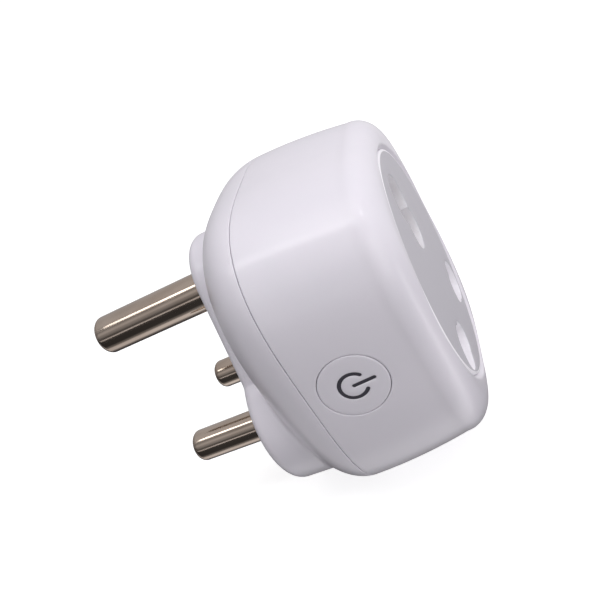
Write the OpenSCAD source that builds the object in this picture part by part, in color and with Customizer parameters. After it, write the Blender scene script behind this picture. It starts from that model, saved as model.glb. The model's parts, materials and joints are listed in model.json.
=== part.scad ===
// Plug-in power meter for a 16 A round-pin wall socket.
// +Y points into the wall, +Z is up (earth pin on top), the outlet faces -Y.
// The origin is the centre of the flat rear face that meets the wall socket.
// Lengths are in millimetres.

/* [Body] */
// Half width of the body at its widest, along the seam between the shells
seam_half_w = 31.3; // [30.8:0.1:32]
// Half width of the front shell where its rounded front edge starts
front_half_w = 29.2; // [28.8:0.1:29.8]
// Height of the body divided by its width
height_ratio = 1.02; // [1:0.01:1.04]
// Exponent of the squarish cross-section, where 2 would be an ellipse
squareness = 3.3; // [3.1:0.1:3.6]
// Exponent of the cross-section at the top of the rear shell's dome
top_squareness = 2.15; // [2.1:0.05:2.3]
// How much narrower the top of the dome is, as a share of its width
top_narrowing = 0.135; // [0.12:0.005:0.14]
// How far the front shell's sides bulge past a straight taper
side_bulge = 0.4; // [0:0.1:0.8]
// Distance from the wall face to the outlet face
body_depth = 43.2; // [42.8:0.1:45]
// Distance from the wall face to the seam
seam_depth = 17; // [16.5:0.5:17.5]
// Radius of the rounded front edge
front_round = 5.6; // [5:0.1:6]
// Height of the dome above the seam
dome_height = 14.35; // [14.3:0.05:14.6]
// Exponent of the dome's profile
dome_power = 2.85; // [2.8:0.05:3]
// Wall thickness of both shells
wall = 2.2; // [2:0.1:2.4]
// Width of the shadow gap along the seam
seam_gap = 0.3; // [0.2:0.05:0.4]

/* [Rear boss] */
// Radius of the upper lobe, around the earth pin
lobe_top_r = 10.7; // [10.4:0.1:11]
// Height of the upper lobe's centre
lobe_top_z = 15.3; // [15:0.1:15.6]
// Radius of the two lower lobes, around the line and neutral pins
lobe_low_r = 15.2; // [15:0.1:15.6]
// Sideways distance of each lower lobe's centre
lobe_low_x = 10.8; // [10.6:0.1:11]
// Height of the lower lobes' centres
lobe_low_z = -13.5; // [-13.7:0.1:-13.3]
// Rounding of the boss's rear edge
boss_round = 2.4; // [2:0.1:2.8]

/* [Pins] */
// Diameter of the earth pin
earth_pin_d = 8.7; // [8.65:0.05:8.75]
// Diameter of the line and neutral pins
live_pin_d = 7.05; // [7:0.05:7.1]
// Length of the earth pin past the wall face
earth_pin_len = 30.6; // [28.6:0.1:31]
// Length of the line and neutral pins past the wall face
live_pin_len = 20.6; // [18.6:0.1:21]
// Sideways distance of the line and neutral pins from the middle
live_x = 12.7; // [12.7:0.1:12.7]
// Height of the earth pin above the line and neutral pins
pin_rise = 28.6; // [28.6:0.1:28.6]
// Height of the line and neutral pins
live_z = -13.8; // [-14:0.1:-13.6]

/* [Outlet] */
// Radius of the round faceplate
plate_r = 24.3; // [24.2:0.1:24.4]
// Radius of the opening's flared edge
flare_r = 25.3; // [25.1:0.1:25.4]
// Hole radius for the earth pin of a 16 A plug
earth_hole_r = 5.2; // [5:0.1:5.2]
// Hole radius for the earth pin of a 6 A plug
small_earth_hole_r = 4.6; // [4.4:0.1:4.6]
// Hole radius for the line and neutral pins of a 16 A plug
live_hole_r = 4.6; // [4.4:0.1:4.6]
// Hole radius for the line and neutral pins of a 6 A plug
small_live_hole_r = 3.5; // [3.3:0.1:3.5]
// Height of a 6 A plug's earth pin above its line and neutral pins
small_rise = 22.2; // [22.2:0.1:22.2]
// Sideways distance of a 6 A plug's line and neutral pins
small_live_x = 9.5; // [9.5:0.1:9.5]
// How far the child-safety shutter lifts
shutter_travel = 9.8; // [9.6:0.1:9.8]

/* [Button] */
// Radius of the power button's face
button_r = 6.4; // [6:0.1:6.6]
// Distance of the button's centre from the wall face
button_depth = 26; // [25.5:0.5:26.5]
// How far the button travels when pressed
button_travel = 0.3; // [0.2:0.05:0.3]
// Gap round the button
button_gap = 0.12; // [0.1:0.01:0.15]

/* [Hidden] */
$fn = 64;

// Fineness of the lofted shells and of the boss
section_steps = 64;
boss_steps = 72;
round_steps = 5;
side_steps = 4;
dome_steps = 8;
dome_end_angle = 76;

// Planes, as distances along Y
front_y = -body_depth;
seam_y = -seam_depth;
front_wall = 2.4;
plate_front_y = front_y + 0.3;
plate_seat_y = front_y + front_wall;
plate_flange_r = 25.6;
plate_flange_t = 1.2;
plate_back_y = plate_seat_y + plate_flange_t;
block_front_y = plate_back_y + 5;
block_back_y = -20;
chimney_back_y = -11.6;
face_wall = 2.4;
collar_back_y = -face_wall;
collar_t = 1.6;
collar_front_y = collar_back_y - collar_t;
retainer_t = 1.6;
retainer_front_y = collar_front_y - retainer_t;
board_t = 1.6;
board_back_y = -8.2;
board_front_y = board_back_y - board_t;

// Heights of the pins and holes
earth_z = live_z + pin_rise;
small_earth_z = live_z + small_rise;

// The lap joint behind the seam
tongue_t = 1;
tongue_len = 2;
tongue_gap = 0.1;

// Screws
screw_r = 1;
screw_hole_r = 1.05;
screw_pass_r = 1.2;
screw_head_r = 1.9;
screw_head_t = 1;
screw_slot_w = 0.5;
screw_slot_depth = 0.5;

// Fastening points: block posts are at plus and minus this in X and Z, the others are [x, z, root y]
block_post = 19.6;
block_post_r = 2;
block_ear_r = 3.2;
block_ear_t = 2;
ear_back_y = block_front_y + block_ear_t;
retainer_points = [[-6, 1.5, -1], [6, 1.5, -1], [0, -9, -1]];
board_points = [[-18.4, -2, -5.8], [18.4, -2, -5.8], [0, -19.2, -1]];
support_post_r = 2.4;

// Shutter
channel_half_w = 18.8;
shutter_t = 1.6;
shutter_front_y = plate_back_y + 0.15;
shutter_bar_top = -5;
shutter_bar_bottom = -8.7;
shutter_foot_z = -18.9;
blade_inner_x = 5.6;
blade_outer_x = 17.4;
spring_x = 13;
spring_y = plate_back_y + 2.5;
spring_seat_z = 9.5;
spring_coil_r = 1.6;
spring_wire_r = 0.2;
spring_turns = 7;

// Contact block and its contacts
entry_t = 1.6;
pocket_live = [5.2, 18.2, 5.4];
pocket_earth = [5.9, 3, 20.8];
leaf_t = 0.7;
leaf_gap = 0.075;
contact_front_y = block_front_y + 1.8;
live_base_y = -21.4;
live_base_t = 0.8;
earth_base_y = -12.2;
earth_base_t = 0.6;

// Pins
pin_tip_round = 1.6;
pin_tail_r = 2.2;
pin_tail_end_y = board_front_y - 0.9;
collar_rim = 1.9;
pin_shoulder = 0.2;

// Power board
board_half = 21.2;
board_corner_r = 14;

// Button stack, as distances along X from the middle
button_flange_r = 7.3;
button_flange_x = -27.6;
button_flange_t = 0.7;
button_stem_r = 1.6;
button_board_x = -23.2;
button_board_t = 1.2;
button_board_half_z = 9;
switch_body_h = 2.6;
switch_half = 3;
plunger_h = 0.8;
plunger_r = 1.7;
plunger_sunk = 0.7;
plunger_tip_x = button_board_x - switch_body_h - plunger_h;
icon_floor_x = -30.1;
icon_sink = 0.12;
icon_arc_r = 2.55;
icon_stroke = 0.7;
icon_gap_angle = 40;
icon_bar_len = 3.9;

colour_shell = "#E6E2EA";
colour_plate = "#D8D5DC";
colour_nickel = "#A89C8C";
colour_brass = "#C9A24B";
colour_steel = "#B9BCC0";
colour_board = "#1F5B38";
colour_black = "#26262A";

// Radius of a section with exponent e in direction t, where its half width is 1
function section_r(t, e) = pow(pow(abs(cos(t)), e) + pow(abs(sin(t)), e), -1 / e);

// One ring of points round the body at distance y, with half width a; up is 0 at the seam, 1 on top
function section_ring(y, a, up = 0) = [
    for (i = [0 : section_steps - 1])
        let (
            t = 360 * i / section_steps,
            r = a * section_r(t, squareness + (top_squareness - squareness) * up)
        )
            [(1 - top_narrowing * up) * r * cos(t), y, height_ratio * r * sin(t)]
];

// Half width of the front shell's outside at distance y behind its rounding
function side_half_w(y) =
    let (start = front_y + front_round, t = (y - start) / (seam_y - start))
        front_half_w + (seam_half_w - front_half_w) * t + side_bulge * 4 * t * (1 - t);

// [y, half width] rows of the front shell, moved in by d
function front_rows(d, end_y) = concat(
    [for (i = [0 : round_steps])
        let (t = 90 * i / round_steps, r = front_round - d)
            [front_y + d + r * (1 - cos(t)), front_half_w - d - r * (1 - sin(t))]],
    [for (i = [1 : side_steps])
        let (y = front_y + front_round + (end_y - front_y - front_round) * i / side_steps)
            [y, side_half_w(y) - d]]
);

// A closed solid through rings of equal length, listed from -Y to +Y
module loft(rings) {
    n = len(rings[0]);
    last = len(rings) - 1;
    points = [for (ring = rings) each ring];
    sides = [
        for (j = [0 : last - 1])
            for (i = [0 : n - 1])
                let (a = j * n + i, b = j * n + (i + 1) % n)
                    [a, b, b + n, a + n]
    ];
    first_cap = [for (i = [0 : n - 1]) n - 1 - i];
    last_cap = [for (i = [0 : n - 1]) last * n + i];
    polyhedron(points = points, faces = concat(sides, [first_cap, last_cap]), convexity = 4);
}

module body_loft(rows) {
    loft([for (row = rows) section_ring(row[0], row[1])]);
}

// The rear shell's dome, moved in by d and cut flat just below its top
module dome(d) {
    loft([
        for (i = [0 : dome_steps])
            let (t = dome_end_angle * i / dome_steps)
                section_ring(
                    seam_y + (dome_height - d) * pow(sin(t), 2 / dome_power),
                    (seam_half_w - d) * pow(cos(t), 2 / dome_power),
                    sin(t)
                )
    ]);
}

// Rows of a stretch that keeps its half width
function straight_rows(a, y0, y1) = [[y0, a], [y1, a]];

// Distance from o along the unit vector u to the far side of a circle, or 0 for a miss
function ray_circle(o, u, c, r) =
    let (d = c - o, b = d * u, q = b * b - d * d + r * r)
        q < 0 ? 0 : b + sqrt(q);

// Distance from o along u to the nearest of some edges, each [outward normal, offset]
function ray_edges(o, u, edges) =
    min([for (e = edges) let (s = u * e[0]) s > 0.001 ? (e[1] - o * e[0]) / s : 1000]);

// The flank runs from the upper lobe, which it touches, to where the lower lobe bulges out
kink = [17.8, 0.4];
kink_angle = atan2(kink[1] - lobe_top_z, kink[0]);
kink_dist = norm(kink - [0, lobe_top_z]);
flank_angle = kink_angle + acos(lobe_top_r / kink_dist);
flank_normal = [cos(flank_angle), sin(flank_angle)];
flank_offset = flank_normal * kink;
touch_z = lobe_top_z + lobe_top_r * sin(flank_angle);

// Radius of the three-lobed boss from its middle in direction t, moved in by d
boss_mid = [0, -3];
function boss_r(t, d) =
    let (
        u = [cos(t), sin(t)],
        low_z = lobe_low_z - lobe_low_r + d,
        mirrored = [-flank_normal[0], flank_normal[1]],
        flanks = [
            [flank_normal, flank_offset - d], [mirrored, flank_offset - d],
            [[0, 1], touch_z], [[0, -1], -kink[1] + 4]
        ],
        middle = [[[1, 0], lobe_low_x], [[-1, 0], lobe_low_x], [[0, -1], -low_z], [[0, 1], 0]]
    )
    max(
        ray_circle(boss_mid, u, [0, lobe_top_z], lobe_top_r - d),
        ray_circle(boss_mid, u, [lobe_low_x, lobe_low_z], lobe_low_r - d),
        ray_circle(boss_mid, u, [-lobe_low_x, lobe_low_z], lobe_low_r - d),
        ray_edges(boss_mid, u, flanks),
        ray_edges(boss_mid, u, middle)
    );

function boss_ring(y, d) = [
    for (i = [0 : boss_steps - 1])
        let (t = 360 * i / boss_steps, r = boss_r(t, d))
            [r * cos(t), y, boss_mid[1] + r * sin(t)]
];

// The boss from y0 to its flat rear face at y1, moved in by d, with its rear edge rounded
module boss(y0, y1, d, round_r) {
    loft(concat(
        [boss_ring(y0, d)],
        [for (i = [0 : round_steps])
            let (t = 90 * i / round_steps)
                boss_ring(y1 - round_r * (1 - sin(t)), d + round_r * (1 - cos(t)))]
    ));
}

// Cylinder along +Y from y0 to y1
module rod_y(r, y0, y1, x = 0, z = 0) {
    translate([x, y0, z])
        rotate([-90, 0, 0])
            cylinder(r = r, h = y1 - y0);
}

// Cylinder along +X from x0 to x1
module rod_x(r, x0, x1, y = 0, z = 0) {
    translate([x0, y, z])
        rotate([0, 90, 0])
            cylinder(r = r, h = x1 - x0);
}

// Box between two corners
module box(a, b) {
    translate(a)
        cube(b - a);
}

// A flat shape drawn in X and Z, standing from y0 to y1
module slab_y(y0, y1) {
    translate([0, y1, 0])
        rotate([90, 0, 0])
            linear_extrude(y1 - y0)
                children();
}

// A flat shape drawn in Y and Z, standing from x0 to x1
module slab_x(x0, x1) {
    translate([x0, 0, 0])
        rotate([90, 0, 90])
            linear_extrude(x1 - x0)
                children();
}

module rounded_rect(w, h, r) {
    square([w - 2 * r, h], center = true);
    square([w, h - 2 * r], center = true);
    for (x = [-1, 1], y = [-1, 1])
        translate([x * (w / 2 - r), y * (h / 2 - r)])
            circle(r);
}

// Cross-slotted screw driven towards +Y, or towards -Y where away is -1, with its head's seat at seat_y
module screw_y(x, z, seat_y, length, away = 1) {
    translate([x, seat_y, z])
        mirror([0, away < 0 ? 1 : 0, 0])
            difference() {
                union() {
                    rod_y(screw_r, 0, length);
                    rod_y(screw_head_r, -screw_head_t, 0);
                }
                translate([0, -screw_head_t, 0]) {
                    cube([screw_slot_w, 2 * screw_slot_depth, 2.4], center = true);
                    cube([2.4, 2 * screw_slot_depth, screw_slot_w], center = true);
                }
            }
}

// The outlet's hole pattern, grown by g
module outlet_holes(g = 0) {
    translate([0, earth_z])
        circle(earth_hole_r + g);
    translate([0, small_earth_z])
        circle(small_earth_hole_r + g);
    for (s = [-1, 1]) {
        translate([s * live_x, live_z])
            circle(live_hole_r + g);
        translate([s * small_live_x, live_z])
            circle(small_live_hole_r + g);
    }
}

// Rib on the side wall that the button board's edge rests against
module button_board_rib(side) {
    rib_t = 1.4;
    translate([0, 0, side * (button_board_half_z + rib_t / 2)])
        box(
            [-seam_half_w + wall, -button_depth - 7, -rib_t / 2],
            [button_board_x + button_board_t, -button_depth + 6, rib_t / 2]
        );
}

// Inside of the front shell, widened at its rear end for the rear shell's tongue
module front_cavity() {
    start_y = plate_seat_y + 2;
    lap_y = seam_y - tongue_len - tongue_gap;
    body_loft(concat(
        straight_rows(front_half_w - wall - 0.6, plate_seat_y, plate_seat_y + 0.6),
        [for (i = [0 : side_steps])
            let (y = start_y + (lap_y - start_y) * i / side_steps)
                [y, side_half_w(max(y, front_y + front_round)) - wall]],
        straight_rows(seam_half_w - wall + tongue_t + tongue_gap, lap_y, seam_y + 1)
    ));
}

module front_housing() {
    color(colour_shell)
        difference() {
            union() {
                difference() {
                    body_loft(front_rows(0, seam_y - seam_gap / 2));
                    front_cavity();
                }
                for (sx = [-1, 1], sz = [-1, 1])
                    rod_y(block_post_r, plate_seat_y - 1, block_front_y, sx * block_post, sz * block_post);
                for (s = [-1, 1])
                    button_board_rib(s);
            }
            rod_y(plate_r + 0.1, front_y - 1, plate_seat_y + 1);
            translate([0, front_y - 0.1, 0])
                rotate([-90, 0, 0])
                    cylinder(h = 0.8, r1 = flare_r + 0.1, r2 = plate_r + 0.1);
            rod_x(button_r + button_gap, -seam_half_w - 1, -seam_half_w + wall + 4, -button_depth, 0);
            for (sx = [-1, 1], sz = [-1, 1])
                rod_y(screw_hole_r, plate_seat_y + 1, block_front_y + 1, sx * block_post, sz * block_post);
        }
}

module rear_housing() {
    color(colour_shell)
        difference() {
            union() {
                difference() {
                    union() {
                        dome(0);
                        boss(-12, 0, 0, boss_round);
                    }
                    dome(wall);
                    boss(-13, -face_wall, face_wall, 0.8);
                }
                difference() {
                    body_loft(straight_rows(seam_half_w - wall + tongue_t, seam_y - tongue_len, seam_y));
                    body_loft(straight_rows(seam_half_w - wall, seam_y - tongue_len - 1, seam_y + 1));
                }
                for (p = retainer_points)
                    rod_y(support_post_r, collar_front_y, p[2], p[0], p[1]);
                for (p = board_points)
                    rod_y(support_post_r, board_back_y, p[2], p[0], p[1]);
            }
            rod_y(earth_pin_d / 2 + pin_shoulder, -face_wall - 1, 1, 0, earth_z);
            for (s = [-1, 1])
                rod_y(live_pin_d / 2 + pin_shoulder, -face_wall - 1, 1, s * live_x, live_z);
            for (p = retainer_points)
                rod_y(screw_hole_r, collar_front_y - 1, p[2] - 0.2, p[0], p[1]);
            for (p = board_points)
                rod_y(screw_hole_r, board_back_y - 1, p[2] - 0.2, p[0], p[1]);
        }
}

module face_plate() {
    rail_half_z = 14;
    lug_half_w = 2.4;
    lug_t = 1.8;
    color(colour_plate)
        difference() {
            union() {
                rod_y(plate_r, plate_front_y, plate_seat_y);
                rod_y(plate_flange_r, plate_seat_y, plate_back_y);
                for (s = [-1, 1]) {
                    translate([s * (channel_half_w + 0.6), 0, -2])
                        box([-0.6, plate_back_y - 0.5, -rail_half_z], [0.6, block_front_y, rail_half_z]);
                    translate([s * spring_x, 0, spring_seat_z])
                        box([-lug_half_w, plate_back_y - 0.5, 0], [lug_half_w, block_front_y, lug_t]);
                }
            }
            slab_y(plate_front_y - 1, plate_back_y + 1)
                outlet_holes();
        }
}

// A sloped blade that a live or neutral pin pushes up, and the bar that joins both blades
module shutter() {
    blade_drop = 2.9;
    notch_half_w = 5.2;
    pad_half_w = 2.2;
    pad_t = 1.2;
    color(colour_plate)
        difference() {
            union() {
                box(
                    [-channel_half_w + 0.2, shutter_front_y, shutter_bar_bottom],
                    [channel_half_w - 0.2, shutter_front_y + shutter_t, shutter_bar_top]
                );
                for (s = [-1, 1])
                    translate([s * spring_x, 0, shutter_bar_top])
                        box([-pad_half_w, shutter_front_y, -pad_t], [pad_half_w, block_front_y - 0.4, 0]);
                for (s = [-1, 1])
                    mirror([s < 0 ? 1 : 0, 0, 0])
                        slab_x(blade_inner_x, blade_outer_x)
                            polygon([
                                [shutter_front_y, shutter_bar_bottom + 1],
                                [shutter_front_y + shutter_t, shutter_bar_bottom + 1],
                                [shutter_front_y + shutter_t + blade_drop, shutter_foot_z],
                                [shutter_front_y + blade_drop, shutter_foot_z],
                                [shutter_front_y, shutter_bar_bottom]
                            ]);
            }
            box(
                [-notch_half_w, shutter_front_y - 1, shutter_bar_top - 1.5],
                [notch_half_w, shutter_front_y + shutter_t + 1, shutter_bar_top + 1]
            );
        }
}

// Compression spring standing along Z from z0 to z1, swept as a six-sided wire
module coil_spring(z0, z1, coil_r, wire_r, turns) {
    steps = turns * 14;
    sides = 6;
    rise = (z1 - z0 - 2 * wire_r) / steps;
    rings = [
        for (i = [0 : steps])
            let (t = 360 * turns * i / steps)
                [for (k = [0 : sides - 1])
                    let (a = -360 * k / sides, r = coil_r + wire_r * cos(a))
                        [r * cos(t), r * sin(t), z0 + wire_r + rise * i + wire_r * sin(a)]]
    ];
    loft(rings);
}

module shutter_springs() {
    color(colour_steel)
        for (s = [-1, 1])
            translate([s * spring_x, spring_y, 0])
                coil_spring(shutter_bar_top, spring_seat_z, spring_coil_r, spring_wire_r, spring_turns);
}

module contact_block() {
    block_w = 39.2;
    block_h = 42.4;
    block_mid_z = 0.8;
    chimney_w = 14.4;
    chimney_h = 19.8;
    color(colour_plate)
        difference() {
            union() {
                slab_y(block_front_y, block_back_y)
                    translate([0, block_mid_z])
                        rounded_rect(block_w, block_h, 3);
                slab_y(block_back_y - 1, chimney_back_y)
                    translate([0, (pocket_earth[1] + pocket_earth[2]) / 2])
                        rounded_rect(chimney_w, chimney_h, 2);
                for (sx = [-1, 1], sz = [-1, 1])
                    rod_y(block_ear_r, block_front_y, ear_back_y, sx * block_post, sz * block_post);
            }
            slab_y(block_front_y - 1, block_front_y + entry_t + 0.1)
                outlet_holes();
            box(
                [-pocket_earth[0], block_front_y + entry_t, pocket_earth[1]],
                [pocket_earth[0], chimney_back_y + 1, pocket_earth[2]]
            );
            for (s = [-1, 1])
                mirror([s < 0 ? 1 : 0, 0, 0])
                    box(
                        [pocket_live[0], block_front_y + entry_t, live_z - pocket_live[2]],
                        [pocket_live[1], block_back_y + 1, live_z + pocket_live[2]]
                    );
            for (sx = [-1, 1], sz = [-1, 1]) {
                rod_y(screw_pass_r, block_front_y - 1, ear_back_y + 1, sx * block_post, sz * block_post);
                rod_y(block_ear_r - 0.7, ear_back_y, block_back_y + 1, sx * block_post, sz * block_post);
            }
        }
}

module contact_block_screws() {
    color(colour_steel)
        for (sx = [-1, 1], sz = [-1, 1])
            screw_y(sx * block_post, sz * block_post, ear_back_y, 6.5, -1);
}

// Spring leaf round two hole positions, open at the far end of the first
module double_leaf(p_big, r_big, p_small, r_small, gap_dir) {
    slot_half = 0.8;
    difference() {
        union() {
            translate(p_big)
                circle(r_big + leaf_gap + leaf_t);
            translate(p_small)
                circle(r_small + leaf_gap + leaf_t);
        }
        translate(p_big)
            circle(r_big + leaf_gap);
        translate(p_small)
            circle(r_small + leaf_gap);
        translate(p_big)
            rotate(gap_dir)
                translate([0, -slot_half])
                    square([r_big + 3, 2 * slot_half]);
    }
}

// Contact for a line or neutral pin of either size, with its base and its tail to the power board
module live_contact(side) {
    tail_w = 2.4;
    tail_x = 15.2;
    base_x0 = 5.8;
    base_x1 = 17.6;
    base_half_z = 4.4;
    small_pin_r = 2.54;
    color(colour_brass)
        mirror([side < 0 ? 1 : 0, 0, 0]) {
            slab_y(contact_front_y, live_base_y)
                double_leaf([live_x, live_z], live_pin_d / 2, [small_live_x, live_z], small_pin_r, 0);
            box(
                [base_x0, live_base_y, live_z - base_half_z],
                [base_x1, live_base_y + live_base_t, live_z + base_half_z]
            );
            box(
                [tail_x, live_base_y, live_z + base_half_z - live_base_t],
                [tail_x + tail_w, board_front_y, live_z + base_half_z]
            );
        }
}

module line_contact() {
    live_contact(1);
}

module neutral_contact() {
    live_contact(-1);
}

module earth_contact() {
    base_half_w = 4.8;
    color(colour_brass) {
        slab_y(contact_front_y, earth_base_y)
            double_leaf([0, earth_z], earth_pin_d / 2, [0, small_earth_z], live_pin_d / 2, 90);
        box(
            [-base_half_w, earth_base_y, pocket_earth[1] + 0.8],
            [base_half_w, earth_base_y + earth_base_t, pocket_earth[2] - 0.8]
        );
    }
}

// Solid pin with a rounded tip, a shoulder through the boss's wall, a collar inside it and a tail
module power_pin(d, length, x, z) {
    r = d / 2;
    tip = [
        for (i = [0 : 6])
            let (t = 15 * i)
                [r - pin_tip_round * (1 - cos(t)), length - pin_tip_round * (1 - sin(t))]
    ];
    profile = concat(
        [
            [0, pin_tail_end_y], [pin_tail_r, pin_tail_end_y], [pin_tail_r, collar_front_y],
            [r + collar_rim, collar_front_y], [r + collar_rim, collar_back_y],
            [r + pin_shoulder, collar_back_y], [r + pin_shoulder, 0], [r, 0]
        ],
        tip,
        [[0, length]]
    );
    color(colour_nickel)
        translate([x, 0, z])
            rotate([-90, 0, 0])
                rotate_extrude()
                    polygon(profile);
}

module earth_pin() {
    power_pin(earth_pin_d, earth_pin_len, 0, earth_z);
}

module line_pin() {
    power_pin(live_pin_d, live_pin_len, live_x, live_z);
}

module neutral_pin() {
    power_pin(live_pin_d, live_pin_len, -live_x, live_z);
}

// Plate that holds the pins' collars against the inside of the boss
module pin_retainer() {
    lobe_r = 6.4;
    tab_r = 3;
    color(colour_black)
        slab_y(retainer_front_y, collar_front_y)
            difference() {
                union() {
                    polygon([[0, earth_z], [-live_x, live_z], [live_x, live_z]]);
                    translate([0, earth_z])
                        circle(lobe_r);
                    for (s = [-1, 1])
                        translate([s * live_x, live_z])
                            circle(lobe_r);
                    for (p = retainer_points)
                        translate([p[0], p[1]])
                            circle(tab_r);
                }
                translate([0, earth_z])
                    circle(pin_tail_r + 0.1);
                for (s = [-1, 1])
                    translate([s * live_x, live_z])
                        circle(pin_tail_r + 0.1);
                for (p = retainer_points)
                    translate([p[0], p[1]])
                        circle(screw_pass_r);
            }
}

module retainer_screws() {
    color(colour_steel)
        for (p = retainer_points)
            screw_y(p[0], p[1], retainer_front_y, 4);
}

// Flat strap riveted between the earth contact's base and the earth pin's tail
module earth_strap() {
    strap_half_w = 2.5;
    strap_t = 0.8;
    color(colour_brass) {
        box(
            [-strap_half_w, chimney_back_y, small_earth_z - 3],
            [strap_half_w, chimney_back_y + strap_t, earth_z + 3]
        );
        rod_y(pin_tail_r, chimney_back_y + strap_t / 2, pin_tail_end_y, 0, earth_z);
    }
}

module power_board() {
    color(colour_board)
        slab_y(board_front_y, board_back_y)
            difference() {
                rounded_rect(2 * board_half, 2 * board_half, board_corner_r);
                translate([0, earth_z])
                    circle(pin_tail_r + 0.1);
                for (s = [-1, 1])
                    translate([s * live_x, live_z])
                        circle(pin_tail_r + 0.1);
                for (p = board_points)
                    translate([p[0], p[1]])
                        circle(screw_pass_r);
            }
}

module power_board_screws() {
    color(colour_steel)
        for (p = board_points)
            screw_y(p[0], p[1], board_front_y, board_t + 1.6);
}

// Sealed relay, with the rib along its top that such cases have
module relay() {
    color(colour_black)
        difference() {
            box([9, board_front_y - 9.8, 1], [17.4, board_front_y, 16]);
            box([9.8, board_front_y - 10.2, 1.8], [16.6, board_front_y - 9.5, 15.2]);
            box([8, board_front_y - 0.4, 3], [18, board_front_y + 1, 14]);
        }
}

module mains_capacitor() {
    color("#C8A21E")
        difference() {
            box([-6.5, board_front_y - 9.6, -16.8], [6.5, board_front_y, -11.8]);
            box([-4.5, board_front_y - 0.6, -17], [4.5, board_front_y + 1, -11]);
        }
}

// Electrolytic can with its crimped groove and the score on its top
module bulk_capacitor(x, z) {
    can_r = 3.5;
    can_h = 9.8;
    color("#2B3F6B")
        translate([x, board_front_y, z])
            rotate([90, 0, 0])
                difference() {
                    rotate_extrude()
                        polygon([
                            [0, 0], [can_r, 0], [can_r, 1.2], [can_r - 0.3, 1.5], [can_r, 1.8],
                            [can_r, can_h - 0.4], [can_r - 0.4, can_h], [0, can_h]
                        ]);
                    for (a = [0, 90])
                        rotate(a)
                            translate([0, 0, can_h])
                                cube([4, 0.3, 0.3], center = true);
                }
}

module bulk_capacitor_1() {
    bulk_capacitor(-13.5, 8);
}

module bulk_capacitor_2() {
    bulk_capacitor(-13, 15.4);
}

// Surge-limiting disc on two wire legs
module varistor() {
    disc_r = 4.4;
    disc_x = -6;
    disc_t = 3.2;
    disc_z = -5;
    disc_y = board_front_y - 5.2;
    color("#2F4F8F") {
        rod_x(disc_r, disc_x, disc_x + disc_t, disc_y, disc_z);
        for (s = [-1, 1])
            rod_y(0.35, disc_y, board_front_y, disc_x + disc_t / 2, disc_z + s * 2.5);
    }
}

module fusible_resistor() {
    body_r = 1.8;
    waist_r = 1.5;
    color("#6FA08A")
        translate([3, board_front_y, -3.2])
            rotate([90, 0, 0])
                rotate_extrude()
                    polygon([
                        [0, 0], [0.4, 0], [0.4, 0.8], [body_r, 1.1], [body_r, 2.6], [waist_r, 3],
                        [waist_r, 6.4], [body_r, 6.8], [body_r, 8.2], [0.4, 8.6], [0, 8.6]
                    ]);
}

module filter_choke() {
    flange_r = 2.8;
    winding_r = 2.5;
    color("#7A4A26")
        translate([4.2, board_front_y, -8.6])
            rotate([90, 0, 0])
                rotate_extrude()
                    polygon([
                        [0, 0], [flange_r, 0], [flange_r, 1], [winding_r, 1.1],
                        [winding_r, 6.5], [flange_r, 6.6], [flange_r, 7.6], [0, 7.6]
                    ]);
}

// Bridge of resistance alloy that the metering chip measures the current across
module shunt_resistor() {
    x0 = -17.5;
    x1 = -9.5;
    z0 = -7.9;
    z1 = -5.9;
    color("#B87B4B")
        difference() {
            box([x0, board_front_y - 2, z0], [x1, board_front_y, z1]);
            box([x0 + 1.2, board_front_y - 1, z0 - 1], [x1 - 1.2, board_front_y + 1, z1 + 1]);
        }
}

// Moulded chip with gull-wing legs along both long edges
module chip(x, z, w, h, legs) {
    body_t = 1.5;
    pitch = 1.27;
    leg_w = 0.4;
    color(colour_black)
        translate([x, board_front_y, z]) {
            box([-w / 2, -body_t, -h / 2], [w / 2, -0.1, h / 2]);
            for (i = [0 : legs - 1])
                translate([(i - (legs - 1) / 2) * pitch, 0, 0])
                    box([-leg_w / 2, -0.7, -h / 2 - 0.8], [leg_w / 2, 0, h / 2 + 0.8]);
        }
}

module metering_chip() {
    chip(-10.4, -1.6, 4.9, 2.8, 4);
}

module supply_chip() {
    chip(-17, 3, 3.8, 2.2, 3);
}

radio_z = 22;
radio_t = 0.8;

module radio_board() {
    color(colour_board)
        difference() {
            box([-9, block_front_y, radio_z], [17, block_back_y + 3.4, radio_z + radio_t]);
            for (x = [-7.8, 6.6])
                translate([x, 0, 0])
                    box([0, block_front_y + 1, radio_z - 1], [1.2, block_front_y + 2.2, radio_z + 2]);
        }
}

module radio_shield() {
    rim = 0.3;
    x = [-5.5, 6];
    y = [block_front_y + 3.2, block_back_y - 1.4];
    z = [radio_z + radio_t, radio_z + radio_t + 2.2];
    color(colour_steel)
        difference() {
            box([x[0], y[0], z[0]], [x[1], y[1], z[1]]);
            box([x[0] + rim, y[0] + rim, z[0] - 1], [x[1] - rim, y[1] - rim, z[1] - rim]);
        }
}

// Pin strip from the radio board's underside to the power board
module radio_header() {
    pitch = 2;
    pin_w = 0.6;
    first_x = 8.6;
    last_x = first_x + 3 * pitch;
    pin_z = radio_z - 3.6;
    color(colour_black) {
        box([first_x - 1, block_back_y + 0.6, pin_z - 0.8], [last_x + 1, block_back_y + 3, radio_z]);
        for (i = [0 : 3])
            translate([first_x + i * pitch, 0, pin_z])
                box([-pin_w / 2, block_back_y + 2, -pin_w / 2], [pin_w / 2, board_front_y, pin_w / 2]);
    }
}

// The power symbol drawn in Y and Z, with its gap towards -Y
module power_symbol() {
    translate([-button_depth, 0]) {
        difference() {
            circle(icon_arc_r + icon_stroke / 2);
            circle(icon_arc_r - icon_stroke / 2);
            polygon([
                [0, 0],
                [-6 * cos(icon_gap_angle), -6 * sin(icon_gap_angle)],
                [-6 * cos(icon_gap_angle), 6 * sin(icon_gap_angle)]
            ]);
        }
        translate([-icon_bar_len, -icon_stroke / 2])
            square([icon_bar_len, icon_stroke]);
    }
}

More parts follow.
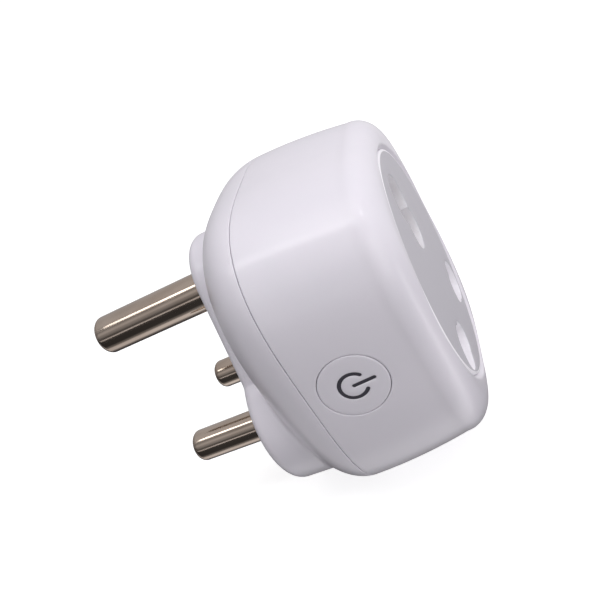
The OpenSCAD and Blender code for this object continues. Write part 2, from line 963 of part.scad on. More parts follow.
module button_cap() {
    color(colour_shell)
        difference() {
            union() {
                intersection() {
                    rod_x(button_r, -seam_half_w - 1, button_flange_x + 0.1, -button_depth, 0);
                    body_loft(front_rows(0, seam_y));
                }
                rod_x(button_flange_r, button_flange_x, button_flange_x + button_flange_t, -button_depth, 0);
                rod_x(button_stem_r, button_flange_x, plunger_tip_x, -button_depth, 0);
            }
            slab_x(-seam_half_w - 1, icon_floor_x)
                power_symbol();
        }
}

module button_icon() {
    color("#3A3A42")
        intersection() {
            slab_x(-seam_half_w - 1, icon_floor_x)
                power_symbol();
            body_loft(front_rows(icon_sink, seam_y));
        }
}

module button_board() {
    color(colour_board)
        box(
            [button_board_x, -button_depth - 7.6, -button_board_half_z],
            [button_board_x + button_board_t, -button_depth + 7.4, button_board_half_z]
        );
}

module button_board_header() {
    pitch = 2;
    pin_w = 0.6;
    inner_x = button_board_x + button_board_t;
    color(colour_black) {
        box([inner_x, -22, -4], [inner_x + 1.8, -19.2, 4]);
        for (i = [0 : 3])
            translate([inner_x + 1.2, 0, (i - 1.5) * pitch])
                box([-pin_w / 2, -20, -pin_w / 2], [pin_w / 2, board_front_y, pin_w / 2]);
    }
}

module tact_switch() {
    color(colour_black)
        difference() {
            box(
                [button_board_x - switch_body_h, -button_depth - switch_half, -switch_half],
                [button_board_x, -button_depth + switch_half, switch_half]
            );
            rod_x(
                plunger_r + 0.1, button_board_x - switch_body_h - 1,
                button_board_x - switch_body_h + plunger_sunk + button_travel + 0.1, -button_depth, 0
            );
        }
}

module switch_plunger() {
    color(colour_plate)
        rod_x(plunger_r, plunger_tip_x, button_board_x - switch_body_h + plunger_sunk, -button_depth, 0);
}

module status_led() {
    color("#F4F2C8")
        box([button_board_x - 0.8, -button_depth - 5.6, -0.8], [button_board_x, -button_depth - 4, 0.8]);
}

front_housing();
rear_housing();
face_plate();
shutter();
shutter_springs();
contact_block();
contact_block_screws();
earth_contact();
line_contact();
neutral_contact();
earth_pin();
line_pin();
neutral_pin();
pin_retainer();
retainer_screws();
earth_strap();
power_board();
power_board_screws();
relay();
mains_capacitor();
bulk_capacitor_1();
bulk_capacitor_2();
varistor();
fusible_resistor();
filter_choke();
shunt_resistor();
metering_chip();
supply_chip();
radio_board();
radio_shield();
radio_header();
button_cap();
button_icon();
button_board();
button_board_header();
tact_switch();
switch_plunger();
status_led();
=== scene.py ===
"""The looks of the plug-in power meter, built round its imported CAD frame.

Shapes are worked out in millimetres, and their meshes are made in metres.
+Y points into the wall, +Z is up, the outlet faces -Y and the power button is on the -X side.
"""
import json
import math

import bmesh
import bpy
from mathutils import Matrix, Vector
from mathutils.geometry import delaunay_2d_cdt


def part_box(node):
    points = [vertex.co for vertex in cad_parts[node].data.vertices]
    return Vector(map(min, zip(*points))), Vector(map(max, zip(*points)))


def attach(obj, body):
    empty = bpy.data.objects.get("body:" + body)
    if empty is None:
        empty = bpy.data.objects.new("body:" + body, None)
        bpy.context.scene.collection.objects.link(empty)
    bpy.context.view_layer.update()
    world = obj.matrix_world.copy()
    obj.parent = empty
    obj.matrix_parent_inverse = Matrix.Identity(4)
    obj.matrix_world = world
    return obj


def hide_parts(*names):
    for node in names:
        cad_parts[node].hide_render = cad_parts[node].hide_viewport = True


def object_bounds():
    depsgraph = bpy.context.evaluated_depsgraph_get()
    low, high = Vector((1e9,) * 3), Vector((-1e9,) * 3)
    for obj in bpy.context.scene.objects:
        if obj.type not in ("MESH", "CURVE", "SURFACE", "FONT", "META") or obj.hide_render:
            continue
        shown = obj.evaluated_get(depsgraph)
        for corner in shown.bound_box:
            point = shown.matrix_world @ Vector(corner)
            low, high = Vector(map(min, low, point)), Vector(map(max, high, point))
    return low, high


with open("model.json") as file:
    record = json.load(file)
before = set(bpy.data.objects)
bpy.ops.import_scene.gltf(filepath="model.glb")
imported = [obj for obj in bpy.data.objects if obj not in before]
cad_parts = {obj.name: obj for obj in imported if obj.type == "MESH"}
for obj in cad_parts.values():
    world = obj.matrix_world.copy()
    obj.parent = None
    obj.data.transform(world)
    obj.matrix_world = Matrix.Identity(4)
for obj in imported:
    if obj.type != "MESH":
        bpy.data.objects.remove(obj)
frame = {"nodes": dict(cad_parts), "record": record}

CAD_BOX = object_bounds()
MM = 0.001


def limits(node):
    """Lowest and highest corner of a CAD node, in millimetres."""
    low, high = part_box(node)
    return low / MM, high / MM


FRONT_LOW, FRONT_HIGH = limits("front_housing")
REAR_LOW, REAR_HIGH = limits("rear_housing")
PLATE_LOW, PLATE_HIGH = limits("face_plate")

# Body: the seam splits it into a front shell, whose sides are nearly straight, and a domed rear shell
FRONT_Y = FRONT_LOW.y
SEAM_HALF_W = REAR_HIGH.x
HEIGHT_RATIO = REAR_HIGH.z / REAR_HIGH.x
FRONT_HALF_W = 29.2
SQUARENESS = 3.3
TOP_SQUARENESS = 2.15
TOP_NARROWING = 0.135
SIDE_BULGE = 0.4
SEAM_Y = -17.0
SEAM_GAP = 0.3
SEAM_EDGE = 0.14
FRONT_ROUND = 5.6
DOME_HEIGHT = 14.35
DOME_POWER = 2.85
DOME_END = math.radians(76)
WALL = 2.2
FACE_WALL = 2.4
TONGUE_T = 1.0
TONGUE_LEN = 2.0
TONGUE_GAP = 0.1
CAVITY_ROUND = 2.0
CAVITY_STEP = 0.6
INNER_EDGE = 0.3
INNER_FILLET = 0.2

# Rear boss: one lobe on top, two below, and flanks that bend at KINK into the lower lobes. The fillet at
# its foot widens to FOOT_FILLET round FOOT_ANGLE, in degrees from level, and FOOT_SPREAD to both sides.
LOBE_TOP = (0.0, 15.3)
LOBE_TOP_R = 10.7
LOBE_LOW = (10.8, -13.5)
LOBE_LOW_R = 15.2
KINK = (17.8, 0.4)
KINK_LAP = 4.0
BOSS_MID = (0.0, -3.0)
BOSS_ROUND = 2.4
BOSS_FILLET = 0.7
FOOT_FILLET = 3.4
FOOT_ANGLE = -62
FOOT_SPREAD = 34

# Pins (node, x, z and radius of each) and the bores that they stand in
EARTH_Z = 14.8
SMALL_EARTH_Z = 8.4
LIVE_X = 12.7
SMALL_LIVE_X = 9.5
LIVE_Z = -13.8
PINS = (
    ("earth_pin", 0, EARTH_Z, 4.35),
    ("line_pin", LIVE_X, LIVE_Z, 3.525),
    ("neutral_pin", -LIVE_X, LIVE_Z, 3.525),
)
PIN_TIP_ROUND = 1.6
PIN_SHOULDER = 0.2
PIN_SHOULDER_EDGE = 0.08
PIN_TAIL_R = 2.2
PIN_FLANGE = 1.9
PIN_FLANGE_FRONT_Y = -4.0
PIN_FLANGE_BACK_Y = -2.4
PIN_CHAMFER = 0.1
BORE_GAP = 0.03
BORE_EDGE = 0.25
BORE_DEPTH = 6.0

# Faceplate, the flared opening round it, and the ribs behind it: low and high corners, mirrored in x
PLATE_FRONT_Y = PLATE_LOW.y
PLATE_BACK_Y = -39.6
PLATE_SEAT_Y = -40.8
PLATE_R = 24.3
PLATE_FLANGE_R = PLATE_HIGH.x
PLATE_EDGE = 0.45
# Width of the plate's outer rim band that its material paints near white, a painted highlight along the
# edge
PLATE_PAINTED_RIM_W = 0.5
OPENING_R = PLATE_R + 0.1
OPENING_EDGE = 0.3
FLARE_R = 25.4
FLARE_DEPTH = 0.8
FLARE_LEAD = 0.1
HOLE_EDGE = 0.22
EARTH_HOLE_R = 5.2
SMALL_EARTH_HOLE_R = 4.6
LIVE_HOLE_R = 4.6
SMALL_LIVE_HOLE_R = 3.5
SHUTTER_GUIDES = (
    ((18.8, -40.0, -16.0), (20.0, -34.6, 12.0)),
    ((10.6, -40.0, 9.5), (15.4, -34.6, 11.3)),
)
GUIDE_EDGE = 0.2

# Button and its symbol: each row of the inlay's edge is (distance in from its hole, depth below its face)
BUTTON_Y = -26.0
BUTTON_R = 6.4
BUTTON_GAP = 0.12
BUTTON_EDGE = 0.22
BUTTON_DEPTH = 2.4
BUTTON_FLANGE_R = 7.3
BUTTON_FLANGE_T = 0.7
BUTTON_FLANGE_X = -27.6
BUTTON_STEM_R = 1.7
BUTTON_STEM_LEN = 1.0
BUTTON_CHAMFER = 0.1
ICON_R = 2.55
ICON_HALF_STROKE = 0.38
ICON_GAP_ANGLE = math.radians(40)
ICON_BAR_LEN = 3.9
ICON_DEPTH = 0.6
ICON_SINK = 0.14
ICON_EDGE = 0.13
INLAY_ROWS = ((0.06, 0.0), (0.015, 0.04), (0.012, 0.44))

# Camera: its heading is counted from +X towards +Y, and angles are in degrees
CAMERA_AT = (-124.32, -63.82, 68.29)
CAMERA_HEADING = 21.77
CAMERA_DIP = 25.82
CAMERA_ROLL = -33.24
CAMERA_LENS = 42

# Stage
LIGHTS_AIM = (0, -10, 0)
FLOOR_GAP = 0.05


# ---------------------------------------------------------------- outlines and profiles

def unit(x, z):
    """The direction of (x, z), as a vector of length 1."""
    size = math.hypot(x, z)
    return x / size, z / size


def arc(centre, r, start, end, steps):
    """Points on a circle from angle start to end, in radians, both ends included."""
    angles = [start + (end - start) * i / steps for i in range(steps + 1)]
    return [(centre[0] + r * math.cos(a), centre[1] + r * math.sin(a)) for a in angles]


def bend(start, corner, end, steps):
    """Points on a smooth curve from start to end that a sharp corner would join."""
    points = []
    for i in range(steps + 1):
        t = i / steps
        weights = ((1 - t) ** 2, 2 * t * (1 - t), t * t)
        columns = zip(start, corner, end)
        points.append(tuple(sum(w * c for w, c in zip(weights, column)) for column in columns))
    return points


def rounding(edge, steps):
    """Points (distance to the wall, depth below the face) round an edge, from the face to the wall."""
    angles = [math.pi / 2 * i / steps for i in range(steps + 1)]
    return [(edge * (1 - math.sin(a)), edge * (1 - math.cos(a))) for a in angles]


def line(start, end, steps):
    """Points from start to end, the start left out."""
    shares = [(i + 1) / steps for i in range(steps)]
    return [tuple(a + (b - a) * s for a, b in zip(start, end)) for s in shares]


def solve(gap, low, high):
    """Where gap, which changes sign between low and high, is zero."""
    rising = gap(high) > 0
    for _ in range(40):
        middle = (low + high) / 2
        if (gap(middle) > 0) == rising:
            high = middle
        else:
            low = middle
    return (low + high) / 2


def section_reach(direction, up=0.0):
    """Distance from the middle to a section of half width 1, along a unit (x, z).

    The section is squarish where up is 0, at the seam, and rounder and narrower where up is 1, on top
    of the dome.
    """
    x, z = abs(direction[0]) / (1 - TOP_NARROWING * up), abs(direction[1]) / HEIGHT_RATIO
    power = SQUARENESS + (TOP_SQUARENESS - SQUARENESS) * up
    return (x ** power + z ** power) ** (-1 / power)


def side_half_w(y):
    """Half width of the front shell behind its rounded front edge."""
    start = FRONT_Y + FRONT_ROUND
    t = (y - start) / (SEAM_Y - start)
    return FRONT_HALF_W + (SEAM_HALF_W - FRONT_HALF_W) * t + SIDE_BULGE * 4 * t * (1 - t)


def side_x(y, z):
    """X of the body's outside on the button's side."""
    half_w = side_half_w(y)
    share = (abs(z) / (HEIGHT_RATIO * half_w)) ** SQUARENESS
    return -half_w * (1 - share) ** (1 / SQUARENESS)


def on_side(u, v, depth):
    """The point depth under the body's side, u along Y and v along Z from the button's middle."""
    y, z = BUTTON_Y + u, v
    return side_x(y, z) + depth, y, z


def dome_point(direction, angle, inset):
    """Distance from the middle and y of the dome's surface, moved in, at an angle up from the seam."""
    half_w = (SEAM_HALF_W - inset) * math.cos(angle) ** (2 / DOME_POWER)
    y = SEAM_Y + (DOME_HEIGHT - inset) * math.sin(angle) ** (2 / DOME_POWER)
    return half_w * section_reach(direction, math.sin(angle)), y


def dome_angle(point, inset):
    """Angle up from the seam at which the dome's surface, moved in, is over a point (x, z)."""
    away, direction = math.hypot(*point), unit(*point)
    return solve(lambda a: dome_point(direction, a, inset)[0] - away, 0.0, DOME_END)


def ray_circle(u, centre, r):
    """Distance from the boss's middle along u to the far side of a circle, or 0 for a miss."""
    away = (centre[0] - BOSS_MID[0], centre[1] - BOSS_MID[1])
    along = away[0] * u[0] + away[1] * u[1]
    half_chord_squared = along ** 2 - away[0] ** 2 - away[1] ** 2 + r ** 2
    return along + math.sqrt(half_chord_squared) if half_chord_squared >= 0 else 0.0


def ray_edges(u, edges):
    """Distance along u to the nearest of some straight edges, each (outward normal, offset)."""
    reaches = [1000.0]
    for normal, offset in edges:
        facing = u[0] * normal[0] + u[1] * normal[1]
        if facing > 0.001:
            reaches.append((offset - BOSS_MID[0] * normal[0] - BOSS_MID[1] * normal[1]) / facing)
    return min(reaches)


def boss_edges():
    """The straight flanks of the boss, and the middle part between its lower lobes."""
    angle = math.atan2(KINK[1] - LOBE_TOP[1], KINK[0])
    angle += math.acos(LOBE_TOP_R / math.hypot(KINK[0], KINK[1] - LOBE_TOP[1]))
    normal = (math.cos(angle), math.sin(angle))
    offset = normal[0] * KINK[0] + normal[1] * KINK[1]
    touch_z = LOBE_TOP[1] + LOBE_TOP_R * normal[1]
    flanks = [
        (normal, offset), ((-normal[0], normal[1]), offset),
        ((0, 1), touch_z), ((0, -1), KINK_LAP - KINK[1]),
    ]
    low_z = LOBE_LOW[1] - LOBE_LOW_R
    middle = [((1, 0), LOBE_LOW[0]), ((-1, 0), LOBE_LOW[0]), ((0, -1), -low_z), ((0, 1), 0)]
    return flanks, middle


def boss_outline(count, spread):
    """Points (x, z) round the three-lobed boss, with each corner eased over a few degrees."""
    flanks, middle = boss_edges()
    directions = circle(1.0, count)
    reach = []
    for u in directions:
        reach.append(max(
            ray_circle(u, LOBE_TOP, LOBE_TOP_R),
            ray_circle(u, LOBE_LOW, LOBE_LOW_R),
            ray_circle(u, (-LOBE_LOW[0], LOBE_LOW[1]), LOBE_LOW_R),
            ray_edges(u, flanks),
            ray_edges(u, middle),
        ))
    weights = [math.exp(-((k / spread) ** 2)) for k in range(-3 * spread, 3 * spread + 1)]
    total = sum(weights)
    points = []
    for i, u in enumerate(directions):
        near = [reach[(i + k) % count] for k in range(-3 * spread, 3 * spread + 1)]
        r = min(reach[i], sum(w * n for w, n in zip(weights, near)) / total)
        points.append((BOSS_MID[0] + r * u[0], BOSS_MID[1] + r * u[1]))
    return points


def outward(points):
    """Unit normals, pointing outwards, of a closed outline that runs anticlockwise."""
    normals = []
    for i, point in enumerate(points):
        after, before = points[(i + 1) % len(points)], points[i - 1]
        normals.append(unit(after[1] - before[1], before[0] - after[0]))
    return normals


def two_circles(low, low_r, high, high_r, grow, steps):
    """Outline of two overlapping circles, low and high in the direction from one to the other."""
    dx, dz = high[0] - low[0], high[1] - low[1]
    apart = math.hypot(dx, dz)
    aim = math.atan2(dz, dx)
    low_r += grow
    high_r += grow
    chord = (apart ** 2 + low_r ** 2 - high_r ** 2) / (2 * apart)
    low_half = math.acos(chord / low_r)
    high_half = math.acos((apart - chord) / high_r)
    first = arc(low, low_r, aim + low_half, aim + 2 * math.pi - low_half, steps)
    second = arc(high, high_r, aim - math.pi + high_half, aim + math.pi - high_half, steps)
    return first[:-1] + second[:-1]


def circle(r, steps=256):
    return arc((0.0, 0.0), r, 0, 2 * math.pi, steps)[:-1]


# ---------------------------------------------------------------- meshes

def add_mesh(name, points, faces, smooth_angle=40):
    """An object in the scene, from points in millimetres."""
    mesh = bpy.data.meshes.new(name)
    mesh.from_pydata([Vector(p) * MM for p in points], [], faces)
    mesh.validate()
    made = bmesh.new()
    made.from_mesh(mesh)
    bmesh.ops.remove_doubles(made, verts=made.verts, dist=1e-7)
    bmesh.ops.dissolve_degenerate(made, edges=made.edges, dist=1e-8)
    bmesh.ops.recalc_face_normals(made, faces=made.faces)
    made.to_mesh(mesh)
    made.free()
    thing = bpy.data.objects.new(name, mesh)
    bpy.context.scene.collection.objects.link(thing)
    smooth(mesh, smooth_angle)
    return thing


def add_piece(name, points, faces, body, slot, replaced, smooth_angle=40):
    """A visible piece that rides on a body in place of some CAD nodes."""
    piece = add_mesh(name, points, faces, smooth_angle)
    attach(piece, body)
    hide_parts(*replaced)
    return piece


def smooth(mesh, angle):
    mesh.polygons.foreach_set("use_smooth", [True] * len(mesh.polygons))
    mesh.set_sharp_from_angle(angle=math.radians(angle))


def loft(profiles, closed=True):
    """Points and faces through profiles of equal length that stand round an axis."""
    n, m = len(profiles), len(profiles[0])
    points = [p for profile in profiles for p in profile]
    faces = []
    for i in range(n):
        after = (i + 1) % n
        for j in range(m if closed else m - 1):
            k = (j + 1) % m
            faces.append((i * m + j, after * m + j, after * m + k, i * m + k))
    return points, faces


def lathe(profile, steps, place):
    """Points and faces of a profile (radius, height) turned round an axis and put in place."""
    profiles = [[place(r * u, r * v, h) for r, h in profile] for u, v in circle(1.0, steps)]
    return loft(profiles, closed=False)


def join(parts):
    """One list of points and faces from several."""
    points, faces = [], []
    for more_points, more_faces in parts:
        start = len(points)
        points += more_points
        faces += [tuple(start + v for v in face) for face in more_faces]
    return points, faces


def inside(point, outline):
    """Whether a point lies in a closed outline."""
    odd = False
    for a, b in zip(outline, outline[1:] + outline[:1]):
        if (a[1] > point[1]) != (b[1] > point[1]):
            if point[0] < a[0] + (b[0] - a[0]) * (point[1] - a[1]) / (b[1] - a[1]):
                odd = not odd
    return odd


def fill(outlines, spacing):
    """Points and triangles inside the first outline and outside the others."""
    edges, points = [], []
    for outline in outlines:
        start, size = len(points), len(outline)
        points += outline
        edges += [(start + i, start + (i + 1) % size) for i in range(size)]
    reach = max(math.hypot(*p) for p in points)
    cells = int(reach / spacing) + 1
    clear = (0.45 * spacing) ** 2
    border = list(points)
    for i in range(-cells, cells + 1):
        for j in range(-cells, cells + 1):
            spot = ((i + 0.5 * (j % 2)) * spacing, j * spacing * 0.866)
            if not inside(spot, outlines[0]) or any(inside(spot, o) for o in outlines[1:]):
                continue
            if min((spot[0] - p[0]) ** 2 + (spot[1] - p[1]) ** 2 for p in border) > clear:
                points.append(spot)
    found = delaunay_2d_cdt([Vector(p) for p in points], edges, [], 1, 1e-6)
    spots = [tuple(p) for p in found[0]]
    kept = []
    for face in found[2]:
        centre = tuple(sum(spots[v][k] for v in face) / len(face) for k in (0, 1))
        if not any(inside(centre, o) for o in outlines[1:]):
            kept.append(tuple(face))
    return spots, kept


def plate(outer, holes, through, spacing, place):
    """A plate whose outer edge and holes are rows of equal outlines from front to back.

    Each row is (outline, depth). Holes go through, or each has a floor at its last row.
    """
    def level(outlines, depth):
        spots, faces = fill(outlines, spacing)
        return [place(u, v, depth) for u, v in spots], faces

    def wall(rows):
        profiles = list(zip(*[[place(u, v, depth) for u, v in outline] for outline, depth in rows]))
        return loft(profiles, closed=False)

    parts = [level([outer[0][0]] + [rows[0][0] for rows in holes], outer[0][1]), wall(outer)]
    parts += [wall(rows) for rows in holes]
    back_holes = [rows[-1][0] for rows in holes] if through else []
    parts.append(level([outer[-1][0]] + back_holes, outer[-1][1]))
    if not through:
        parts += [level([rows[-1][0]], rows[-1][1]) for rows in holes]
    return join(parts)


def cut(piece, tools):
    """Takes the tools' shapes out of a piece and deletes the tools."""
    for tool in tools:
        change = piece.modifiers.new("cut", "BOOLEAN")
        change.operation = "DIFFERENCE"
        change.solver = "EXACT"
        change.object = tool
    bpy.context.view_layer.update()
    shown = piece.evaluated_get(bpy.context.evaluated_depsgraph_get())
    mesh = bpy.data.meshes.new_from_object(shown)
    mesh.name = piece.name
    piece.modifiers.clear()
    piece.data = mesh
    smooth(mesh, 40)
    for tool in tools:
        bpy.data.objects.remove(tool)


def along_y(x, z):
    """Place function for a lathe whose axis runs along +Y."""
    return lambda u, v, h: (x + u, h, z + v)


# ---------------------------------------------------------------- materials

class Nodes:
    """Short ways to build one material's nodes, measured in millimetres on the object."""

    def __init__(self, name):
        self.material = bpy.data.materials.new(name)
        self.material.use_nodes = True
        self.tree = self.material.node_tree
        self.shader = self.tree.nodes["Principled BSDF"]
        self.where = self.add("ShaderNodeTexCoord").outputs["Object"]

    def add(self, kind, **settings):
        node = self.tree.nodes.new(kind)
        for key, value in settings.items():
            setattr(node, key, value)
        return node

    def link(self, source, target):
        self.tree.links.new(source, target)

    def noise(self, size, detail=3.0, stretch=(1, 1, 1)):
        """Noise whose features are about size millimetres across."""
        mapping = self.add("ShaderNodeMapping")
        mapping.inputs["Scale"].default_value = [1 / (size * MM * s) for s in stretch]
        self.link(self.where, mapping.inputs["Vector"])
        noise = self.add("ShaderNodeTexNoise")
        noise.inputs["Scale"].default_value = 1.0
        noise.inputs["Detail"].default_value = detail
        self.link(mapping.outputs["Vector"], noise.inputs["Vector"])
        return noise.outputs["Fac"]

    def spread(self, value, low, high):
        """A 0 to 1 value spread from low to high."""
        node = self.add("ShaderNodeMapRange")
        node.inputs["From Min"].default_value = 0.3
        node.inputs["From Max"].default_value = 0.7
        node.inputs["To Min"].default_value = low
        node.inputs["To Max"].default_value = high
        self.link(value, node.inputs["Value"])
        return node.outputs["Result"]

    def blend_colours(self, value, first, second):
        node = self.add("ShaderNodeMix", data_type="RGBA")
        node.inputs["A"].default_value = (*first, 1)
        node.inputs["B"].default_value = (*second, 1)
        self.link(value, node.inputs["Factor"])
        return node.outputs["Result"]

    def bump(self, height, depth, before=None):
        """Bump of depth millimetres, on top of another bump."""
        node = self.add("ShaderNodeBump")
        node.inputs["Strength"].default_value = 1.0
        node.inputs["Distance"].default_value = depth * MM
        self.link(height, node.inputs["Height"])
        if before:
            self.link(before, node.inputs["Normal"])
        return node.outputs["Normal"]

    def colour(self, source):
        self.link(source, self.shader.inputs["Base Color"])

    def rough(self, source):
        self.link(source, self.shader.inputs["Roughness"])

    def normal(self, source):
        self.link(source, self.shader.inputs["Normal"])

    def set(self, **inputs):
        for key, value in inputs.items():
            self.shader.inputs[key.replace("_", " ")].default_value = value


def moulded(name, light, dark, roughness, grain, grain_depth, coat=0.0, scatter=0.0):
    """Moulded plastic: a faint drift of tone, a fine grain and slight waviness."""
    n = Nodes(name)
    n.colour(n.blend_colours(n.spread(n.noise(14, 2), 0, 1), light, dark))
    n.rough(n.spread(n.noise(2.6, 4), roughness - 0.04, roughness + 0.05))
    n.normal(n.bump(n.noise(grain, 2), grain_depth, n.bump(n.noise(7, 1), grain_depth * 1.5)))
    n.set(IOR=1.46)
    if coat:
        n.set(Coat_Weight=coat, Coat_Roughness=0.12)
    if scatter:
        n.set(Subsurface_Weight=scatter, Subsurface_Radius=(1.0, 0.85, 0.95), Subsurface_Scale=1.2 * MM)
    return n.material


def plate_with_painted_light(name):
    """The faceplate: matt and a little grey on its face. Its rim band and everything behind the face are
    painted near white: a painted highlight on the rim and painted light in the holes.
    """
    n = Nodes(name)
    where = n.add("ShaderNodeSeparateXYZ")
    n.link(n.where, where.inputs[0])
    # Mask of everything behind the face, the hole walls most of all, painted near white as painted light
    # in the holes
    behind = n.add("ShaderNodeMapRange")
    behind.inputs["From Min"].default_value = (PLATE_FRONT_Y + 0.03) * MM
    behind.inputs["From Max"].default_value = (PLATE_FRONT_Y + 0.2) * MM
    n.link(where.outputs["Y"], behind.inputs["Value"])
    flat = n.add("ShaderNodeVectorMath", operation="MULTIPLY")
    flat.inputs[1].default_value = (1, 0, 1)
    n.link(n.where, flat.inputs[0])
    out = n.add("ShaderNodeVectorMath", operation="LENGTH")
    n.link(flat.outputs["Vector"], out.inputs[0])
    # Mask of the outer rim band, painted near white as a painted highlight along the plate's edge
    rim = n.add("ShaderNodeMapRange")
    rim.inputs["From Min"].default_value = (PLATE_R - PLATE_PAINTED_RIM_W - 0.15) * MM
    rim.inputs["From Max"].default_value = (PLATE_R - PLATE_PAINTED_RIM_W) * MM
    n.link(out.outputs["Value"], rim.inputs["Value"])
    # Either mask paints the colour near white and makes the surface glossier: painted light and painted
    # highlight
    pale = n.add("ShaderNodeMath", operation="MAXIMUM")
    n.link(behind.outputs["Result"], pale.inputs[0])
    n.link(rim.outputs["Result"], pale.inputs[1])
    n.colour(n.blend_colours(pale.outputs[0], (0.52, 0.505, 0.545), (0.98, 0.96, 1.0)))
    n.rough(n.spread(pale.outputs[0], 0.5, 0.3))
    n.normal(n.bump(n.noise(0.22, 2), 0.004))
    return n.material


def metal(name, light, dark, roughness, stretch):
    """Drawn, stamped or turned metal whose fine marks run along the stretched axis."""
    n = Nodes(name)
    marks = n.noise(0.5, 5, stretch)
    n.colour(n.blend_colours(n.spread(n.noise(3.5, 4), 0, 1), light, dark))
    n.rough(n.spread(marks, roughness - 0.06, roughness + 0.1))
    n.normal(n.bump(marks, 0.004))
    n.set(Metallic=1.0)
    return n.material


def circuit_board(name):
    """Solder mask over copper tracks, with bare pads showing as paler spots."""
    n = Nodes(name)
    tracks = n.add("ShaderNodeTexBrick", offset=0.5)
    mapping = n.add("ShaderNodeMapping")
    mapping.inputs["Scale"].default_value = [1 / (3.2 * MM)] * 3
    mapping.inputs["Rotation"].default_value = (math.radians(90), 0, 0)
    n.link(n.where, mapping.inputs["Vector"])
    n.link(mapping.outputs["Vector"], tracks.inputs["Vector"])
    tracks.inputs["Color1"].default_value = (1, 1, 1, 1)
    tracks.inputs["Color2"].default_value = (0.8, 0.8, 0.8, 1)
    tracks.inputs["Mortar"].default_value = (0, 0, 0, 1)
    tracks.inputs["Mortar Size"].default_value = 0.05
    n.colour(n.blend_colours(tracks.outputs["Fac"], (0.015, 0.11, 0.05), (0.04, 0.2, 0.09)))
    n.rough(n.spread(n.noise(1.2, 3), 0.25, 0.4))
    n.normal(n.bump(tracks.outputs["Fac"], 0.03))
    return n.material


def wound_wire(name):
    """Enamelled copper wire wound in close turns."""
    n = Nodes(name)
    turns = n.add("ShaderNodeTexWave", bands_direction="Y")
    turns.inputs["Scale"].default_value = 1 / (1.2 * MM)
    turns.inputs["Distortion"].default_value = 0.2
    n.link(n.where, turns.inputs["Vector"])
    n.colour(n.blend_colours(turns.outputs["Fac"], (0.18, 0.06, 0.02), (0.6, 0.25, 0.1)))
    n.rough(n.spread(n.noise(0.8), 0.25, 0.4))
    n.normal(n.bump(turns.outputs["Fac"], 0.12))
    n.set(Metallic=0.7)
    return n.material


def nickel():
    """Bright nickel over a turned pin: fine rings, long rub marks and darker smudges."""
    n = Nodes("pin_nickel")
    rings = n.noise(0.16, 2, (60, 1, 60))
    rubs = n.noise(0.5, 4, (1, 30, 1))
    smudge = n.spread(n.noise(5, 5, (1, 2.5, 1)), 0, 1)
    n.colour(n.blend_colours(smudge, (0.68, 0.575, 0.485), (0.54, 0.44, 0.36)))
    n.rough(n.spread(rubs, 0.07, 0.17))
    n.normal(n.bump(rings, 0.0003, n.bump(rubs, 0.0006)))
    n.set(Metallic=1.0)
    return n.material


SHELL_LIGHT = (0.77, 0.74, 0.80)
SHELL_DARK = (0.75, 0.725, 0.785)
MATERIALS = {
    "shell_white": moulded("shell_white", SHELL_LIGHT, SHELL_DARK, 0.34, 0.35, 0.0012, 0.4, 0.12),
    "plate_white": plate_with_painted_light("plate_white"),
    "pin_nickel": nickel(),
    "contact_brass": metal("contact_brass", (0.78, 0.56, 0.26), (0.62, 0.43, 0.2), 0.28, (1, 14, 1)),
    "bright_steel": metal("bright_steel", (0.66, 0.67, 0.7), (0.52, 0.53, 0.57), 0.3, (6, 1, 6)),
    "board_green": circuit_board("board_green"),
    "black_plastic": moulded(
        "black_plastic", (0.02, 0.02, 0.023), (0.032, 0.031, 0.035), 0.45, 0.2, 0.01),
    "film_yellow": moulded("film_yellow", (0.62, 0.42, 0.04), (0.55, 0.36, 0.03), 0.3, 0.9, 0.006, 0.3),
    "sleeve_blue": moulded("sleeve_blue", (0.03, 0.05, 0.16), (0.02, 0.035, 0.11), 0.32, 0.8, 0.004, 0.2),
    "varistor_blue": moulded(
        "varistor_blue", (0.03, 0.08, 0.3), (0.02, 0.06, 0.22), 0.35, 0.7, 0.02, 0.3),
    "resistor_green": moulded("resistor_green", (0.16, 0.36, 0.25), (0.12, 0.29, 0.2), 0.5, 0.5, 0.02),
    "winding_copper": wound_wire("winding_copper"),
    "shunt_alloy": metal("shunt_alloy", (0.72, 0.45, 0.28), (0.58, 0.35, 0.22), 0.35, (1, 1, 10)),
    "icon_grey": moulded("icon_grey", (0.045, 0.043, 0.055), (0.06, 0.057, 0.07), 0.42, 0.2, 0.004),
    "led_lens": moulded("led_lens", (0.85, 0.84, 0.7), (0.8, 0.79, 0.62), 0.2, 1.0, 0.002, 0.4),
}


def paint_cad_nodes():
    """Gives each CAD node the material of its slot in the record."""
    for subpart in frame["record"]["subparts"]:
        mesh = frame["nodes"][subpart["node"]].data
        mesh.materials.clear()
        mesh.materials.append(MATERIALS[subpart["material_slot"]])


def paint(piece, slot):
    piece.data.materials.clear()
    piece.data.materials.append(MATERIALS[slot])


# ---------------------------------------------------------------- front shell

def opening_r(y):
    """Radius of the round opening's flared wall."""
    share = (y - FRONT_Y + FLARE_LEAD) / FLARE_DEPTH
    return max(OPENING_R, FLARE_R - (FLARE_R - OPENING_R) * share)


